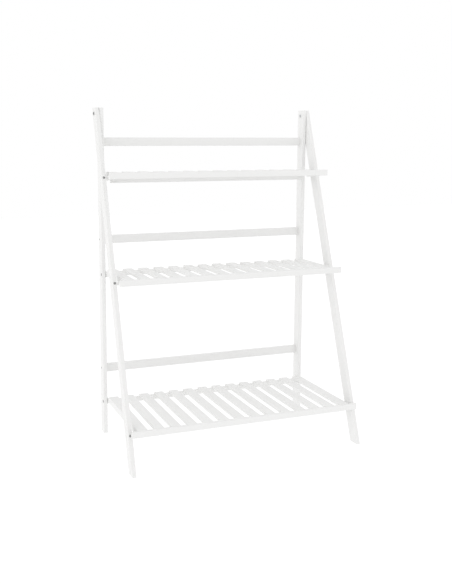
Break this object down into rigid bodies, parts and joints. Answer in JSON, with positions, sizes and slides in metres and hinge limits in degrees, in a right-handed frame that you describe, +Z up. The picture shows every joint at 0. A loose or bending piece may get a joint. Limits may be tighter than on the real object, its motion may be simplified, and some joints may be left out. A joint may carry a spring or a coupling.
{
  "type": "folding slatted shelf",
  "caption": "White painted bamboo folding shelf stand with upright rear legs, leaning front legs and slatted shelves that get deeper towards the floor.",
  "frame": {"origin": "on the floor at the middle of the footprint", "axes": "+X to the right, front at -Y, +Z up"},
  "size_m": [0.706, 0.3872, 0.982],
  "materials": {
    "frame_bamboo": "satin white paint",
    "slat_bamboo": "satin white paint",
    "dowel_wood": "bare",
    "dark_steel": "dark oxide",
    "zinc_steel": "zinc plated"
  },
  "bodies": {
    "rear_frame": {"left_rear_leg": "frame_bamboo", "right_rear_leg": "frame_bamboo", "top_back_rail": "frame_bamboo", "middle_back_rail": "frame_bamboo", "bottom_back_rail": "frame_bamboo", "back_rail_screws": "zinc_steel", "top_bolts": "dark_steel", "top_nuts": "dark_steel", "top_washers": "zinc_steel", "shelf_bolts": "dark_steel", "shelf_nuts": "dark_steel", "shelf_washers": "zinc_steel"},
    "left_leg": {"left_front_leg": "frame_bamboo", "left_rest_pins": "frame_bamboo", "left_pin_bolts": "dark_steel"},
    "right_leg": {"right_front_leg": "frame_bamboo", "right_rest_pins": "frame_bamboo", "right_pin_bolts": "dark_steel"},
    "top_shelf": {"top_shelf_front_rail": "frame_bamboo", "top_shelf_rear_rail": "frame_bamboo", "top_shelf_slats": "slat_bamboo", "top_shelf_left_bearer": "frame_bamboo", "top_shelf_right_bearer": "frame_bamboo", "top_shelf_dowels": "dowel_wood"},
    "middle_shelf": {"middle_shelf_front_rail": "frame_bamboo", "middle_shelf_rear_rail": "frame_bamboo", "middle_shelf_slats": "slat_bamboo", "middle_shelf_left_bearer": "frame_bamboo", "middle_shelf_right_bearer": "frame_bamboo", "middle_shelf_dowels": "dowel_wood"},
    "bottom_shelf": {"bottom_shelf_front_rail": "frame_bamboo", "bottom_shelf_rear_rail": "frame_bamboo", "bottom_shelf_slats": "slat_bamboo", "bottom_shelf_left_bearer": "frame_bamboo", "bottom_shelf_right_bearer": "frame_bamboo", "bottom_shelf_dowels": "dowel_wood"}
  },
  "joints": [
    {"name": "left_leg_fold", "type": "hinge", "parent": "rear_frame", "child": "left_leg", "pos_m": [-0.344, 0.16944, 0.965], "axis": [1, 0, 0], "range_deg": [0, 14.5]},
    {"name": "right_leg_fold", "type": "hinge", "parent": "rear_frame", "child": "right_leg", "pos_m": [0.344, 0.16944, 0.965], "axis": [1, 0, 0], "range_deg": [0, 14.5]},
    {"name": "top_shelf_tilt", "type": "hinge", "parent": "rear_frame", "child": "top_shelf", "pos_m": [0, 0.15944, 0.77905], "axis": [-1, 0, 0], "range_deg": [0, 72.5]},
    {"name": "middle_shelf_tilt", "type": "hinge", "parent": "rear_frame", "child": "middle_shelf", "pos_m": [0, 0.15944, 0.49103], "axis": [-1, 0, 0], "range_deg": [0, 72.5]},
    {"name": "bottom_shelf_tilt", "type": "hinge", "parent": "rear_frame", "child": "bottom_shelf", "pos_m": [0, 0.15944, 0.09902], "axis": [-1, 0, 0], "range_deg": [0, 72.5]}
  ],
  "couplings": [
    {"joint": "right_leg_fold", "follows": "left_leg_fold", "ratio": 1},
    {"joint": "top_shelf_tilt", "follows": "left_leg_fold", "ratio": 5},
    {"joint": "middle_shelf_tilt", "follows": "left_leg_fold", "ratio": 5},
    {"joint": "bottom_shelf_tilt", "follows": "left_leg_fold", "ratio": 5}
  ]
}
